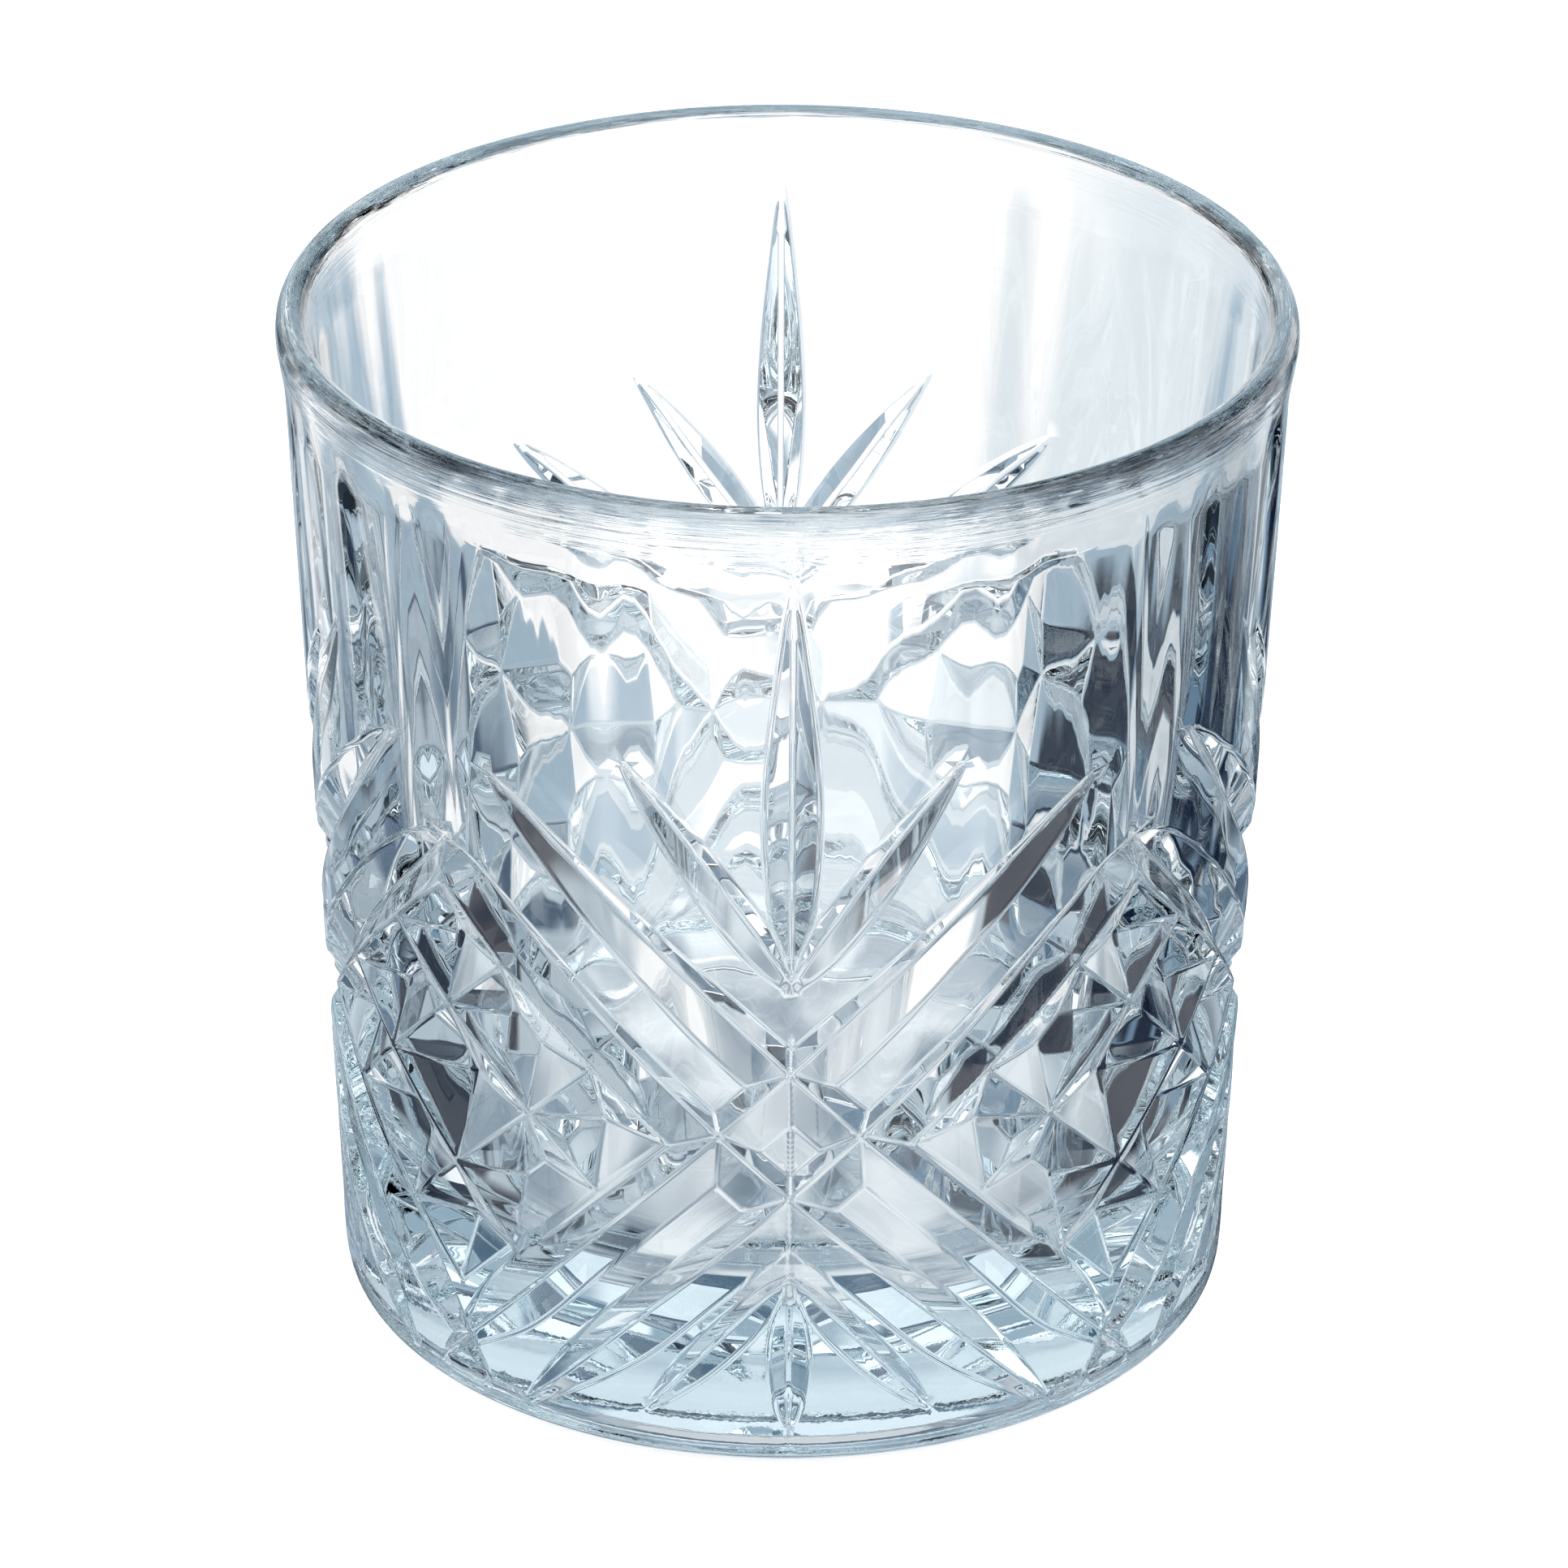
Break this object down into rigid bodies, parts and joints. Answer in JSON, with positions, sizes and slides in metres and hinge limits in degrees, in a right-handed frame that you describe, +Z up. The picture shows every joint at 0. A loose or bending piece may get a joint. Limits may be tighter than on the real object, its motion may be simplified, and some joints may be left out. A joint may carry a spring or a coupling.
{
  "type": "whiskey tumbler",
  "caption": "Clear pressed-glass whiskey tumbler with a thick foot, plain rounded rim and a moulded pattern of crossing grooves, lancet fans and hollow diamonds.",
  "frame": {"origin": "centre of the foot's resting plane", "axes": "+Z up along the tumbler's axis; -Y faces the viewer, through the middle of one groove crossing"},
  "size_m": [0.087, 0.0872, 0.0924],
  "materials": {
    "glass": "clear glossy fire-polished glass with a very pale blue-grey cast"
  },
  "bodies": {
    "root": {"tumbler": "glass"}
  },
  "joints": []
}
